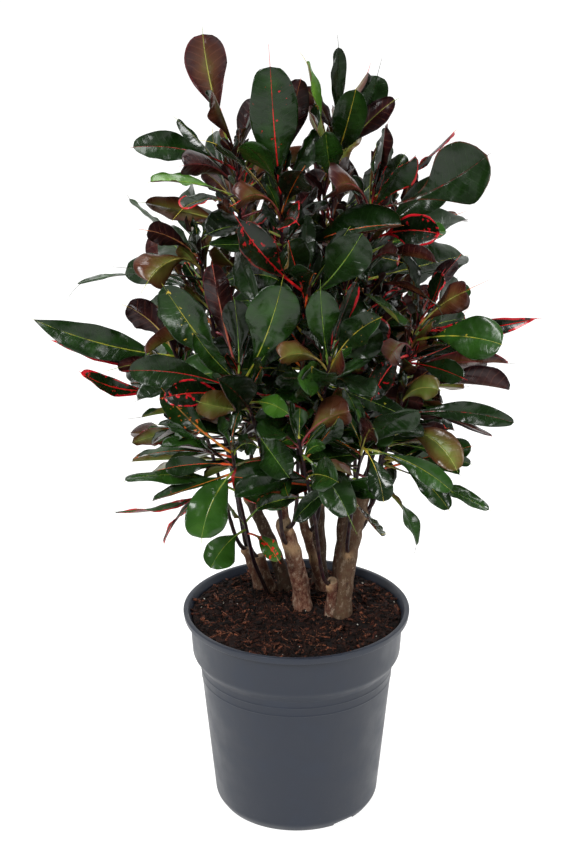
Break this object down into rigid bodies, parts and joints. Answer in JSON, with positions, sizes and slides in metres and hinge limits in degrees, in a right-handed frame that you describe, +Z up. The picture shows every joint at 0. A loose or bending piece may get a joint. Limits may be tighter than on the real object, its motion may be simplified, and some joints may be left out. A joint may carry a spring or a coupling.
{
  "type": "potted croton",
  "caption": "Bushy croton shrub with twisted, glossy, red-ribbed leaves on woody trunks, in a round tapered nursery pot of soil.",
  "frame": {"origin": "middle of the pot's underside, on the surface that it stands on", "axes": "+Z up the plant; the front of the plant, as pictured, faces -Y; +X is to the picture's right"},
  "size_m": [0.49, 0.3887, 0.826],
  "materials": {
    "pot_plastic": "injection-moulded, anthracite, satin",
    "soil_peat": "crumbly moist peat with bark chips",
    "bark": "rough grey-brown bark, cut tops",
    "leaf": "glossy dark green above, maroon beneath"
  },
  "bodies": {
    "root": {"pot": "pot_plastic", "soil": "soil_peat", "trunk_left_back": "bark", "trunk_front_left": "bark", "trunk_slim": "bark", "trunk_middle_back": "bark", "trunk_right_back": "bark", "trunk_right": "bark", "trunk_left_low": "bark", "trunk_left_inner": "bark", "shoot_crown_left": "leaf", "shoot_crown_front": "leaf", "shoot_crown_right": "leaf", "shoot_crown_middle": "leaf", "shoot_left_high": "leaf", "shoot_front_high": "leaf", "shoot_front_middle": "leaf", "shoot_right_mid": "leaf", "shoot_front_left": "leaf", "shoot_left_mid": "leaf", "shoot_low_left": "leaf", "shoot_right_low": "leaf", "shoot_front_right": "leaf", "shoot_front_low": "leaf", "shoot_inner_left": "leaf", "shoot_inner_right": "leaf", "shoot_back_left": "leaf", "shoot_back_left_low": "leaf", "shoot_back_middle": "leaf", "shoot_back_right": "leaf", "shoot_right_back": "leaf", "shoot_right_high": "leaf", "shoot_back_left_high": "leaf", "shoot_back_high": "leaf", "shoot_back_low": "leaf"}
  },
  "joints": []
}
